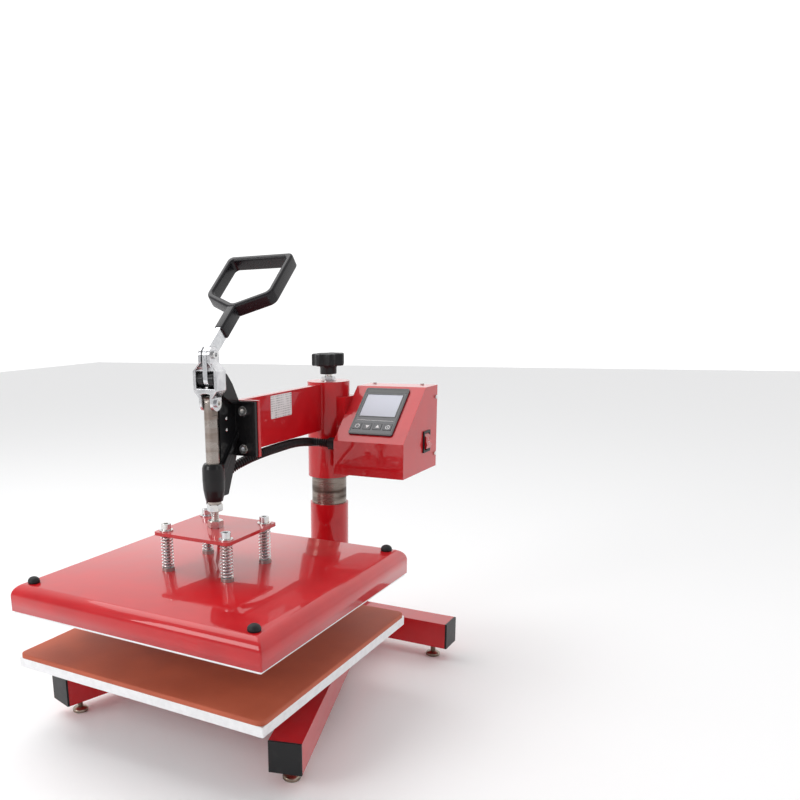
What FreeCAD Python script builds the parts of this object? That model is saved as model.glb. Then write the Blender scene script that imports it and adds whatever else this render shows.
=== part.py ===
"""Swing-away heat press, 380 x 380 mm platens, head open and over the lower board.

Axes: +X to the operator's right, +Y to the column at the back, +Z up.  Millimetres.
Every piece is modelled about the plunger axis, which passes through the centre of the
platens, and is moved when it is saved, so that the origin lies on the floor in the middle
of the footprint.
"""
import FreeCAD
import Part
import math
import os

# ---- Driving dimensions ---------------------------------------------------------------
PLATEN = 380.0            # side of the square platens
COLUMN_Y = 320.0          # column axis behind the platen centre

# base frame
TUBE = 40.0               # square tube
TUBE_WALL = 2.5
TUBE_BOTTOM = 22.0        # underside of the frame above the floor
REAR_HALF = 214.0         # half length of the rear bar, over its caps
LEG_END = (182.0, -133.0)  # centre of a front leg's end face
LEG_SPLAY = 16.3          # degrees that a leg turns outward
CAP_THICK = 3.0
FOOT_INSET = 29.0         # foot axis from the end of its tube
FOOT_R = 11.0
FOOT_H = 7.0
STUD_R = 4.0
FIT = 0.05                # radial clearance of a running fit

# lower board
BOARD_TOP = 110.0
BOARD_THICK = 12.5
PAD_THICK = 6.0
PAD_CORNER = 10.0
CARRIER_THICK = 6.0
CARRIER_HALF_X = 118.0
CARRIER_Y = (-60.0, 150.0)
STANDOFF_X = 80.0
STANDOFF_Y = (-42.0, 125.0)

# column and sleeve
PLATE_THICK = 6.0         # base plate under the column
SHAFT_R = 28.0
LOWER_TUBE_R = 31.0
LOWER_TUBE_TOP = 233.0
SHAFT_TOP = 398.0
SLEEVE_R = 33.5
SLEEVE_Z = (278.0, 430.0)
CAP_DEPTH = 19.0
THRUST_THICK = 4.0
SCREW_R = 6.0
NUT_AF = 19.0
NUT_H = 5.5
WASHER_H = 1.5
RAISE = 3.5               # travel of the height screw, two turns
KNOB_HUB_R = 13.0
KNOB_HUB_H = 13.0
KNOB_R = 26.5
KNOB_H = 19.0
KNOB_LOBES = 7

# arm and toggle casting
ARM_THICK = 10.0
ARM_Z = (355.5, 427.0)
FLANGE_Y = 48.0
FLANGE_THICK = 6.0
FLANGE_HALF_X = 36.0
FLANGE_Z = (354.0, 427.0)
END_THICK = 6.0
FLANGE_BOLT = (20.0, 364.5, 415.0)
PIVOT_Z = 460.0           # lever pivot on the plunger axis
CRANK = 30.5              # lever pivot to link pin
LINK = 61.0               # link length, pin to pin
PIN_R = 4.0
PIN_HEAD_R = 5.4
EAR_R = 10.0
EAR_X = (4.0, 12.0)
BOSS_Z = (301.0, 351.0)
WEB_HALF = 5.0
RIB_HALF = 9.0

# lever and handle
LEVER_HALF = 3.5          # half thickness of the two plates together
LEVER_HALF_WIDTH = 9.25
LEAN = 49.0               # handle leans back from the vertical, degrees
GRIP_START = 38.0         # distances along the handle from the link pin
GRIP_FORK = 80.0
GRIP_SHOULDER = 104.0
GRIP_END = 176.0
GRIP_HALF_X = 48.0
STRAP_HALF = 4.0
STRAP_HALF_WIDTH = 10.0
STEM_HALF = 5.0

# plunger and spring plate
ROD_R = 9.0
ROD_BOTTOM = 297.0
TONGUE_HALF = 6.2
TONGUE_SHOULDER = 16.0    # below the lower pin
STUD_ROD_R = 5.0
STUD_NUT_AF = 18.5
STUD_NUT_H = 9.5
PLATE_Z = (260.5, 265.0)
PLATE_HALF = (60.0, 58.0)
BOLT_AT = (48.0, 45.0)
BOLT_R = 4.0
BOLT_HEAD_R = 6.5
BOLT_HEAD_H = 8.0
BOLT_WASHER_R = 9.2
BOLT_WASHER_H = 1.6

# heated head
COVER_HALF = 192.5
COVER_BOTTOM = 175.5
SHEET = 1.5
SKIRT = 19.0
COVER_BEND_R = 16.5
COVER_BEND_ANGLE = 76.0
HEATER_Z = (172.0, 190.0)
WOOL_THICK = 14.0
COLLAR_R = 8.5
COLLAR_H = 4.5
SPRING_R = 7.4            # mean radius of a spring
SPRING_WIRE = 1.0
SPRING_TURNS = 10
DOME_AT = 170.0
DOME_R = 7.8
DOME_H = 8.5

# control box on the right of the sleeve
BOX_X = (40.0, 155.0)
BOX_Y = (260.0, 390.0)
BOX_Z = (293.0, 421.0)
BOX_FRONT = 52.0
BOX_TOP_Y = 343.0
PANEL_X = (60.0, 132.0)
PANEL_S = (14.0, 106.0)   # along the slope, from its lower edge
PANEL_PROUD = 3.0
PANEL_DEPTH = 24.0
PANEL_LIP = 2.2           # the front overlaps its cut-out by this much all round
WINDOW_X = (66.5, 125.5)
WINDOW_S = (49.0, 93.0)
BUTTON_S = 29.0
BUTTON_SIZE = (12.0, 11.0)
BUTTON_PITCH = 16.6
BUTTON_PROUD = 0.9
BUTTON_TRAVEL = 0.8
ROCKER_AT = (347.0, 338.0)
ROCKER_FRAME = (26.0, 33.0)
ROCKER_TILT = 10.0

# conduit from the box to the toggle, and the thin lead from its end to the head
HOSE_R = 6.8
HOSE_BORE_R = 3.6
HOSE_ROUTE = [(34, 272, 338), (16, 271.5, 338.8), (2, 259, 341), (-2, 240, 343.5), (0, 205, 347),
              (3, 160, 347.5), (2, 118, 346.5), (-6, 86, 341), (-19, 62, 330), (-30, 46, 314)]
LEAD_R = 2.6
LEAD_ROUTE = [(-28.5, 48.2, 316), (-34, 42, 304), (-43, 43, 291), (-51, 54, 279), (-57, 68, 264),
              (-58, 79, 246), (-56, 83, 226), (-56, 83, 205)]
GLAND_R = 9.5
GLAND_LENGTH = 13.0

# ---- Helpers --------------------------------------------------------------------------
FOOTPRINT_MID_Y = (BOX_Y[1] - COVER_HALF) / 2
V = FreeCAD.Vector
X_AXIS = V(1, 0, 0)
Y_AXIS = V(0, 1, 0)
Z_AXIS = V(0, 0, 1)


def block(x, y, z):
    """Box between two x, two y and two z values."""
    return Part.makeBox(x[1] - x[0], y[1] - y[0], z[1] - z[0], V(x[0], y[0], z[0]))


def rod(radius, z0, z1, x=0.0, y=0.0):
    return Part.makeCylinder(radius, z1 - z0, V(x, y, z0), Z_AXIS)


def rod_x(radius, x0, x1, y, z):
    return Part.makeCylinder(radius, x1 - x0, V(x0, y, z), X_AXIS)


def rod_y(radius, y0, y1, x, z):
    return Part.makeCylinder(radius, y1 - y0, V(x, y0, z), Y_AXIS)


def ring(outer, inner, z0, z1, x=0.0, y=0.0):
    return rod(outer, z0, z1, x, y).cut(rod(inner, z0 - 1, z1 + 1, x, y))


def hexagon(across_flats, z0, z1, x=0.0, y=0.0):
    corner = across_flats / math.sqrt(3)
    points = []
    for k in range(7):
        angle = math.radians(60 * k)
        points.append(V(x + corner * math.cos(angle), y + corner * math.sin(angle), z0))
    return Part.Face(Part.makePolygon(points)).extrude(V(0, 0, z1 - z0))


def prism(points, step):
    """Closed polygon of 3-D points, extruded by a vector."""
    return Part.Face(Part.makePolygon(points + [points[0]])).extrude(step)


def prism_yz(outline, x0, x1):
    return prism([V(x0, y, z) for y, z in outline], V(x1 - x0, 0, 0))


def prism_xz(outline, y0, y1):
    return prism([V(x, y0, z) for x, z in outline], V(0, y1 - y0, 0))


def plate(half_x, half_y, corner, z0, z1):
    """Flat plate with rounded upright corners, centred on the plunger axis."""
    slab = block((-half_x, half_x), (-half_y, half_y), (z0, z1))
    uprights = [e for e in slab.Edges if abs(e.tangentAt(e.FirstParameter).z) > 0.9]
    return slab.makeFillet(corner, uprights)


def turned(profile, x=0.0, y=0.0):
    """Solid of revolution about a vertical axis; profile is a list of (radius, z)."""
    points = [V(r, 0, z) for r, z in profile]
    face = Part.Face(Part.makePolygon(points + [points[0]]))
    solid = face.revolve(V(0, 0, 0), Z_AXIS, 360)
    solid.translate(V(x, y, 0))
    return solid


def stadium_yz(a, b, radius, x0, x1):
    """Round-ended bar in the YZ plane, from point a to point b."""
    direction = V(0, b[0] - a[0], b[1] - a[1])
    side = V(0, -direction.z, direction.y).normalize() * radius
    start = V(x0, a[0], a[1])
    end = V(x0, b[0], b[1])
    bar = prism([start + side, end + side, end - side, start - side], V(x1 - x0, 0, 0))
    return bar.fuse([rod_x(radius, x0, x1, *a), rod_x(radius, x0, x1, *b)]).removeSplitter()


def corners(half_x, half_y):
    return [(sx * half_x, sy * half_y) for sx in (-1, 1) for sy in (-1, 1)]


def save(name, shape):
    """Write one piece, or a list of like pieces, about the origin of the footprint."""
    shape = Part.makeCompound(shape) if isinstance(shape, list) else shape.copy()
    if not shape.isValid():
        print("not valid:", name)
    shape.translate(V(0, -FOOTPRINT_MID_Y, 0))
    shape.exportStep("parts/" + name + ".step")


def square_tube(length):
    """Square tube along +X from the origin, centred on Y and Z."""
    half = TUBE / 2
    inner = half - TUBE_WALL
    body = block((0, length), (-half, half), (-half, half))
    return body.cut(block((-1, length + 1), (-inner, inner), (-inner, inner)))


def end_cap():
    """Plastic cap closing a tube that ends at the origin and runs to -X."""
    half = TUBE / 2
    plug = half - TUBE_WALL
    return block((-12, 0), (-plug, plug), (-plug, plug)).fuse(
        block((0, CAP_THICK), (-half, half), (-half, half))).removeSplitter()


# ---- Base frame -----------------------------------------------------------------------
TUBE_MID = TUBE_BOTTOM + TUBE / 2
TUBE_TOP = TUBE_BOTTOM + TUBE
splay = math.radians(LEG_SPLAY)


def leg_direction(side):
    return V(side * math.sin(splay), -math.cos(splay), 0)


def place_end(shape, position, direction):
    """Turn a shape whose outward direction is +X, and move it to its end of the frame."""
    placed = shape.copy()
    placed.rotate(V(0, 0, 0), Z_AXIS, math.degrees(math.atan2(direction.y, direction.x)))
    placed.translate(position)
    return placed


FRAME_ENDS = []
for side in (-1, 1):
    FRAME_ENDS.append(("front", side, V(side * LEG_END[0], LEG_END[1], TUBE_MID), leg_direction(side)))
for side in (-1, 1):
    FRAME_ENDS.append(("rear", side, V(side * REAR_HALF, COLUMN_Y, TUBE_MID), V(side, 0, 0)))


def foot_position(end):
    return end[2] - end[3] * FOOT_INSET


foot_holes = [rod(STUD_R + 0.5, 0, TUBE_MID, foot_position(e).x, foot_position(e).y) for e in FRAME_ENDS]


def make_base():
    rear_length = 2 * (REAR_HALF - CAP_THICK)
    rear = square_tube(rear_length)
    rear.translate(V(-rear_length / 2, COLUMN_Y, TUBE_MID))
    save("base_rear_bar", rear.cut(foot_holes))
    behind = block((-300, 300), (COLUMN_Y - TUBE / 2, COLUMN_Y + 300), (0, 100))
    for end in FRAME_ENDS[:2]:
        leg = square_tube(520)
        leg.translate(V(-520 - CAP_THICK, 0, 0))
        leg = place_end(leg, end[2], end[3])
        name = "base_leg_left" if end[1] < 0 else "base_leg_right"
        save(name, leg.cut([behind] + foot_holes))
    caps = []
    for end in FRAME_ENDS:
        cap = end_cap()
        cap.translate(V(-CAP_THICK, 0, 0))
        caps.append(place_end(cap, end[2], end[3]))
    save("tube_end_caps", caps)


def make_feet():
    nuts = []
    for end in FRAME_ENDS:
        at = foot_position(end)
        nut_bottom = TUBE_BOTTOM + TUBE_WALL
        nut = hexagon(13, nut_bottom, nut_bottom + 6.5, at.x, at.y)
        nuts.append(nut.cut(rod(STUD_R + FIT, 0, TUBE_MID, at.x, at.y)))
        pad = turned([(0, 0), (FOOT_R - 1, 0), (FOOT_R, 1.2), (FOOT_R, 3.6), (FOOT_R - 1.6, 5.6),
                      (5, FOOT_H), (STUD_R, FOOT_H), (STUD_R, 48), (0, 48)], at.x, at.y)
        save("foot_%s_%s" % (end[0], "left" if end[1] < 0 else "right"), pad)
    save("foot_nuts", nuts)


# ---- Lower board ----------------------------------------------------------------------
def make_board():
    half = PLATEN / 2
    board_bottom = BOARD_TOP - BOARD_THICK
    carrier_top = TUBE_TOP + CARRIER_THICK
    carrier = block((-CARRIER_HALF_X, CARRIER_HALF_X), CARRIER_Y, (TUBE_TOP, carrier_top))
    board = plate(half, half, 1.5, board_bottom, BOARD_TOP)
    standoffs = []
    for x in (-STANDOFF_X, STANDOFF_X):
        for y in STANDOFF_Y:
            post = hexagon(17, carrier_top, board_bottom, x, y)
            post = post.fuse(rod(4, TUBE_TOP - 6, BOARD_TOP - 4, x, y)).removeSplitter()
            standoffs.append(post)
    save("board_carrier", carrier.cut(standoffs))
    save("lower_platen", board.cut(standoffs))
    save("board_standoffs", standoffs)
    save("silicone_pad", plate(half, half, PAD_CORNER, BOARD_TOP, BOARD_TOP + PAD_THICK))


# ---- Column ---------------------------------------------------------------------------
def make_column():
    plate_top = TUBE_TOP + PLATE_THICK
    save("column_base_plate", block((-60, 60), (COLUMN_Y - 45, COLUMN_Y + 38), (TUBE_TOP, plate_top)))
    save("column_lower_tube", ring(LOWER_TUBE_R, SHAFT_R, plate_top, LOWER_TUBE_TOP, 0, COLUMN_Y))
    shaft = rod(SHAFT_R, plate_top, SHAFT_TOP, 0, COLUMN_Y)
    save("column_shaft", shaft.cut(rod(SHAFT_R - 5, plate_top - 1, SHAFT_TOP - 10, 0, COLUMN_Y)))


def make_height_screw():
    thrust_top = SHAFT_TOP + THRUST_THICK
    nut_bottom = SLEEVE_Z[1] + WASHER_H
    hub_bottom = nut_bottom + NUT_H + RAISE + 0.3
    hub_top = hub_bottom + KNOB_HUB_H
    save("thrust_washer", rod(20, SHAFT_TOP, thrust_top, 0, COLUMN_Y))
    screw = rod(SCREW_R, thrust_top, hub_top + 8, 0, COLUMN_Y)
    save("height_screw", screw)
    save("height_washer", ring(12, SCREW_R + FIT, SLEEVE_Z[1], nut_bottom, 0, COLUMN_Y))
    nut = hexagon(NUT_AF, nut_bottom, nut_bottom + NUT_H, 0, COLUMN_Y)
    save("height_lock_nut", nut.cut(rod(SCREW_R + FIT, nut_bottom - 1, nut_bottom + 20, 0, COLUMN_Y)))
    knob = turned([(0, hub_bottom), (KNOB_HUB_R, hub_bottom), (KNOB_HUB_R, hub_top), (KNOB_R - 2.5, hub_top),
                   (KNOB_R, hub_top + 2.5), (KNOB_R, hub_top + KNOB_H - 2.5),
                   (KNOB_R - 2.5, hub_top + KNOB_H), (0, hub_top + KNOB_H)], 0, COLUMN_Y)
    for k in range(KNOB_LOBES):
        angle = 2 * math.pi * (k + 0.5) / KNOB_LOBES
        reach = KNOB_R + 5.5
        x = reach * math.cos(angle)
        y = COLUMN_Y + reach * math.sin(angle)
        knob = knob.cut(rod(8, hub_top - 1, hub_top + KNOB_H + 1, x, y))
    save("height_knob", knob.cut(screw))


# ---- Sleeve, arm and casting ----------------------------------------------------------
def make_arm():
    bottom, top = SLEEVE_Z
    sleeve = rod(SLEEVE_R, bottom, top, 0, COLUMN_Y)
    sleeve = sleeve.cut(rod(SHAFT_R + FIT, bottom - 1, top - CAP_DEPTH, 0, COLUMN_Y))
    save("arm_sleeve", sleeve.cut(rod(SCREW_R + FIT, bottom, top + 1, 0, COLUMN_Y)))
    arm_start = FLANGE_Y + FLANGE_THICK + END_THICK
    arm = block((-ARM_THICK / 2, ARM_THICK / 2), (arm_start, COLUMN_Y), ARM_Z)
    save("arm_plate", arm.cut(rod(SLEEVE_R, 0, 600, 0, COLUMN_Y)))
    half = FLANGE_HALF_X + 1
    end_y = (FLANGE_Y + FLANGE_THICK, arm_start)
    end_plate = block((-half, half), end_y, (FLANGE_Z[0] - 1, FLANGE_Z[1] + 1))
    bolts = []
    bolt_x, low, high = FLANGE_BOLT
    for x in (-bolt_x, bolt_x):
        for z in (low, high):
            shank = rod_y(4, FLANGE_Y, arm_start, x, z)
            head = rod_y(BOLT_HEAD_R, FLANGE_Y - 6, FLANGE_Y, x, z)
            socket = rod_y(3, FLANGE_Y - 7, FLANGE_Y - 2.5, x, z)
            bolts.append(head.fuse(shank).removeSplitter().cut(socket))
    save("arm_end_plate", end_plate.cut(bolts))
    save("casting_bolts", bolts)
    return bolts


def make_casting(bolts):
    low, high = BOSS_Z
    boss = turned([(0, low), (11.3, low), (12.6, low + 5), (14.3, low + 15), (15, low + 28), (14.7, high - 6),
                   (13.4, high - 2), (12, high), (0, high)])
    flange_x = (-FLANGE_HALF_X, FLANGE_HALF_X)
    flange = block(flange_x, (FLANGE_Y, FLANGE_Y + FLANGE_THICK), FLANGE_Z)
    web = prism_yz([(0, low + 4), (26, low + 4), (FLANGE_Y, FLANGE_Z[0]), (FLANGE_Y, FLANGE_Z[1]), (34, 450),
                    (13, 450), (12, 420), (12, high), (0, high)], -WEB_HALF, WEB_HALF)
    lug = prism_yz([(0, PIVOT_Z - EAR_R), (11.8, PIVOT_Z - EAR_R), (13, 437), (32, 426), (FLANGE_Y, 424),
                    (FLANGE_Y, FLANGE_Z[1]), (34, 451), (22, 465), (0, PIVOT_Z + EAR_R)], -EAR_X[1], EAR_X[1])
    ear = rod_x(EAR_R, -EAR_X[1], EAR_X[1], 0, PIVOT_Z)
    rib = prism_yz([(10, high - 14), (16, high - 14), (FLANGE_Y, 379), (FLANGE_Y, 387), (12, high - 4)],
                   -RIB_HALF, RIB_HALF)
    body = boss.fuse([flange, web, lug, ear, rib]).removeSplitter()
    slot_r = LEVER_HALF_WIDTH + 0.9
    slot = rod_x(slot_r, -EAR_X[0], EAR_X[0], 0, PIVOT_Z).fuse(
        block((-EAR_X[0], EAR_X[0]), (-20, slot_r), (PIVOT_Z - 20, PIVOT_Z + 20)))
    bore = rod(ROD_R + FIT, low - 1, PIVOT_Z - EAR_R - 1)
    pin = rod_x(PIN_R, -EAR_X[1], EAR_X[1], 0, PIVOT_Z)
    save("toggle_casting", body.cut([slot, bore, pin] + bolts))


def make_pivot_pin():
    reach = EAR_X[1] + 1.4
    pin = rod_x(PIN_R, -reach, reach, 0, PIVOT_Z)
    for side in (-1, 1):
        x0, x1 = sorted((side * EAR_X[1], side * reach))
        pin = pin.fuse(rod_x(6, x0, x1, 0, PIVOT_Z))
    save("lever_pivot_pin", pin.removeSplitter())


# ---- Lever, handle and link -----------------------------------------------------------
LINK_TOP_Z = PIVOT_Z + CRANK
LINK_LOW_Z = LINK_TOP_Z - LINK
lean = math.radians(LEAN)
ALONG = V(0, math.sin(lean), math.cos(lean))
ACROSS = V(0, -math.cos(lean), math.sin(lean))


def on_handle(x, along, across=0.0):
    """Point at a distance along the handle from the link pin."""
    return V(x, 0, LINK_TOP_Z) + ALONG * along + ACROSS * across


def lever_plate(x0, x1):
    tip = on_handle(0, GRIP_START + 22)
    lower = stadium_yz((0, PIVOT_Z), (0, LINK_TOP_Z), LEVER_HALF_WIDTH, x0, x1)
    upper = stadium_yz((0, LINK_TOP_Z), (tip.y, tip.z), LEVER_HALF_WIDTH, x0, x1)
    bar = lower.fuse(upper).removeSplitter()
    pivot_hole = rod_x(PIN_R + FIT, x0 - 1, x1 + 1, 0, PIVOT_Z)
    return bar.cut([pivot_hole, rod_x(PIN_R, x0 - 1, x1 + 1, 0, LINK_TOP_Z)])


def strap(outline):
    """Strap on edge: closed outline of (x, along) points, as wide as the handle strap."""
    points = [on_handle(x, along, -STRAP_HALF_WIDTH) for x, along in outline]
    return prism(points, ACROSS * (2 * STRAP_HALF_WIDTH))


def make_handle():
    plates = [lever_plate(-LEVER_HALF, 0), lever_plate(0, LEVER_HALF)]
    save("lever_plates", plates)
    rise = math.atan2(GRIP_SHOULDER - GRIP_FORK, GRIP_HALF_X)
    fork_step = STRAP_HALF / math.cos(rise)
    elbow_step = STRAP_HALF * math.tan((math.pi / 2 - rise) / 2)

    def outline(sign):
        half = GRIP_HALF_X + sign * STRAP_HALF
        shoulder = GRIP_SHOULDER - sign * elbow_step
        end = GRIP_END + sign * STRAP_HALF
        fork = GRIP_FORK - sign * fork_step
        return [(0, fork), (half, shoulder), (half, end), (-half, end), (-half, shoulder)]

    loop = strap(outline(1)).cut(strap(outline(-1)))
    stem = strap([(-STEM_HALF, GRIP_START), (STEM_HALF, GRIP_START), (STEM_HALF, GRIP_FORK + 1),
                  (-STEM_HALF, GRIP_FORK + 1)])
    grip = loop.fuse(stem).removeSplitter()
    save("handle_grip", grip.cut(plates))


def make_link():
    inner = [(4.8, 504), (4.8, 481.5), (14.2, 472), (14.2, 447.5), (6.6, 439), (6.6, 416)]
    outer = [(10.6, 416), (10.6, 436.5), (18.2, 445.5), (18.2, 470.5), (8.8, 480), (8.8, 504)]
    end_r = 10.3
    width = stadium_yz((0, LINK_LOW_Z), (0, LINK_TOP_Z), end_r, -30, 30)
    cheeks = []
    for side in (-1, 1):
        cheek = prism_xz([(side * x, z) for x, z in inner + outer], -end_r, end_r)
        cheeks.append(cheek.common(width))
    bridge = prism_xz([(-15, 448.3), (15, 448.3), (15, 445), (9.5, 439), (7, 441), (3, 442.2), (-3, 442.2),
                       (-7, 441), (-9.5, 439), (-15, 445)], -end_r, -2)
    link = cheeks[0].fuse([cheeks[1], bridge]).removeSplitter()
    link = link.cut([rod_x(PIN_R + FIT, -30, 30, 0, LINK_TOP_Z), rod_x(PIN_R, -30, 30, 0, LINK_LOW_Z)])
    save("link_yoke", link)
    pin = rod_x(PIN_R, -8.8, 8.8, 0, LINK_TOP_Z)
    stubs = []
    for side in (-1, 1):
        x0, x1 = sorted((side * 8.8, side * 11.8))
        pin = pin.fuse(rod_x(PIN_HEAD_R, x0, x1, 0, LINK_TOP_Z))
        s0, s1 = sorted((side * 6.6, side * 10.6))
        h0, h1 = sorted((side * 10.6, side * 13.6))
        stub = rod_x(PIN_R, s0, s1, 0, LINK_LOW_Z).fuse(rod_x(PIN_HEAD_R, h0, h1, 0, LINK_LOW_Z))
        socket0, socket1 = sorted((side * 11.6, side * 14))
        stubs.append(stub.removeSplitter().cut(rod_x(2.6, socket0, socket1, 0, LINK_LOW_Z)))
        socket0, socket1 = sorted((side * 9.8, side * 12))
        pin = pin.cut(rod_x(2.6, socket0, socket1, 0, LINK_TOP_Z))
    save("link_upper_pin", pin.removeSplitter())
    save("link_lower_pins", stubs)


# ---- Plunger and spring plate ---------------------------------------------------------
def make_plunger():
    shoulder = LINK_LOW_Z - TONGUE_SHOULDER
    stud_top = ROD_BOTTOM + 33
    shank = rod(ROD_R, ROD_BOTTOM, LINK_LOW_Z + 12)
    keep = rod(ROD_R + 1, ROD_BOTTOM - 1, shoulder).fuse(
        stadium_yz((0, shoulder - 5), (0, LINK_LOW_Z), 9, -TONGUE_HALF, TONGUE_HALF))
    shank = shank.common(keep)
    stud = rod(STUD_ROD_R, PLATE_Z[0], stud_top)
    save("plunger_rod", shank.cut(stud))
    save("plunger_stud", stud)
    nuts = []
    for bottom in (PLATE_Z[1], ROD_BOTTOM - STUD_NUT_H):
        nuts.append(hexagon(STUD_NUT_AF, bottom, bottom + STUD_NUT_H).cut(stud))
    save("plunger_nuts", nuts)
    pressing = plate(PLATE_HALF[0], PLATE_HALF[1], 5, *PLATE_Z)
    holes = [rod(BOLT_R + FIT, 0, 400, x, y) for x, y in corners(*BOLT_AT)]
    save("spring_plate", pressing.cut(holes + [stud]))


# ---- Heated head ----------------------------------------------------------------------
bend = math.radians(COVER_BEND_ANGLE)
SKIRT_TOP = COVER_BOTTOM + SKIRT
COVER_TOP = SKIRT_TOP + COVER_BEND_R * math.sin(bend)


def cover_section(inset, bottom):
    """Face of the cover's cross-section in the XZ plane, moved in by inset."""
    radius = COVER_BEND_R - inset
    half = COVER_HALF - inset
    top = COVER_TOP - inset
    angle = math.asin((top - SKIRT_TOP) / radius)
    centre = half - radius

    def on_bend(side, a):
        return V(side * (centre + radius * math.cos(a)), 0, SKIRT_TOP + radius * math.sin(a))

    edges = [Part.makeLine(V(-half, 0, bottom), V(-half, 0, SKIRT_TOP)),
             Part.Arc(V(-half, 0, SKIRT_TOP), on_bend(-1, angle / 2), on_bend(-1, angle)).toShape(),
             Part.makeLine(on_bend(-1, angle), on_bend(1, angle)),
             Part.Arc(on_bend(1, angle), on_bend(1, angle / 2), V(half, 0, SKIRT_TOP)).toShape(),
             Part.makeLine(V(half, 0, SKIRT_TOP), V(half, 0, bottom)),
             Part.makeLine(V(half, 0, bottom), V(-half, 0, bottom))]
    return Part.Face(Part.Wire(edges))


def cover_solid(inset, bottom):
    """Square lid with mitred corners: the section run both ways, and what they share."""
    run = cover_section(inset, bottom)
    run.translate(V(0, -300, 0))
    along_y = run.extrude(V(0, 600, 0))
    along_x = along_y.copy()
    along_x.rotate(V(0, 0, 0), Z_AXIS, 90)
    return along_y.common(along_x)


def spring(x, y, z0, z1):
    """Coil spring whose end turns just touch the two seats that it stands between."""
    rise = z1 - z0 - 2 * SPRING_WIRE
    helix = Part.makeHelix(rise / SPRING_TURNS, rise, SPRING_R)
    circle = Part.Wire(Part.makeCircle(SPRING_WIRE, V(SPRING_R, 0, 0), Y_AXIS))
    coil = Part.Wire(helix).makePipeShell([circle], True, True)
    coil.translate(V(x, y, z0 + SPRING_WIRE))
    return coil


def make_head():
    half = PLATEN / 2
    bolt_top = PLATE_Z[1] + BOLT_WASHER_H
    holes = [rod(BOLT_R, 0, 400, x, y) for x, y in corners(*BOLT_AT)]
    lead_end = LEAD_ROUTE[-1]
    lead_hole = rod(LEAD_R + 0.6, 190, 230, lead_end[0], lead_end[1])
    cover = cover_solid(0, COVER_BOTTOM).cut(cover_solid(SHEET, COVER_BOTTOM - 1))
    save("upper_cover", cover.cut(holes + [lead_hole]))
    heater = plate(half, half, 1.5, *HEATER_Z)
    sockets = [rod(BOLT_R, HEATER_Z[0] + 5, 400, x, y) for x, y in corners(*BOLT_AT)]
    save("heat_platen", heater.cut(sockets))
    wool = plate(half - 12, half - 12, 6, HEATER_Z[1], HEATER_Z[1] + WOOL_THICK)
    save("insulation_blanket", wool.cut(holes + [lead_hole]))
    bolts = []
    washers = []
    collars = []
    springs = []
    domes = []
    for x, y in corners(*BOLT_AT):
        bolt = rod(BOLT_R, HEATER_Z[0] + 5, bolt_top, x, y).fuse(
            rod(BOLT_HEAD_R, bolt_top, bolt_top + BOLT_HEAD_H, x, y)).removeSplitter()
        bolts.append(bolt.cut(hexagon(6, bolt_top + 4, bolt_top + 9, x, y)))
        washers.append(ring(BOLT_WASHER_R, BOLT_R, PLATE_Z[1], bolt_top, x, y))
        collars.append(ring(COLLAR_R, BOLT_R, COVER_TOP, COVER_TOP + COLLAR_H, x, y))
        springs.append(spring(x, y, COVER_TOP + COLLAR_H, PLATE_Z[0]))
    for x, y in corners(DOME_AT, DOME_AT):
        domes.append(turned([(0, COVER_TOP), (DOME_R, COVER_TOP), (DOME_R, COVER_TOP + 3),
                             (DOME_R - 1.6, COVER_TOP + 6), (DOME_R - 4, COVER_TOP + 8),
                             (0, COVER_TOP + DOME_H)], x, y))
    save("head_bolts", bolts)
    save("head_bolt_washers", washers)
    save("spring_collars", collars)
    save("head_springs", springs)
    save("cover_domes", domes)


# ---- Control box ----------------------------------------------------------------------
slope_run = V(0, BOX_TOP_Y - BOX_Y[0], BOX_Z[1] - BOX_Z[0] - BOX_FRONT)
UP_SLOPE = V(slope_run.x, slope_run.y, slope_run.z).normalize()
OUT_OF_SLOPE = V(0, -UP_SLOPE.z, UP_SLOPE.y)
SLOPE_START = V(0, BOX_Y[0], BOX_Z[0] + BOX_FRONT)


def on_slope(x, s, out):
    return V(x, 0, 0) + SLOPE_START + UP_SLOPE * s + OUT_OF_SLOPE * out


def slope_block(x, s, out):
    """Block standing on the slope: ranges across, up the slope and out of it."""
    points = [on_slope(x[0], s[0], out[0]), on_slope(x[1], s[0], out[0]),
              on_slope(x[1], s[1], out[0]), on_slope(x[0], s[1], out[0])]
    return prism(points, OUT_OF_SLOPE * (out[1] - out[0]))


def box_outline(inset):
    """Side view of the box, moved in by inset all round."""
    y0, y1 = BOX_Y[0] + inset, BOX_Y[1] - inset
    z0, z1 = BOX_Z[0] + inset, BOX_Z[1] - inset
    front = on_slope(0, 0, -inset)
    step = (y0 - front.y) / UP_SLOPE.y
    front = front + UP_SLOPE * step
    rise = (z1 - front.z) / UP_SLOPE.z
    back = front + UP_SLOPE * rise
    return [(y0, z0), (y1, z0), (y1, z1), (back.y, back.z), (front.y, front.z)]


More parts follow.
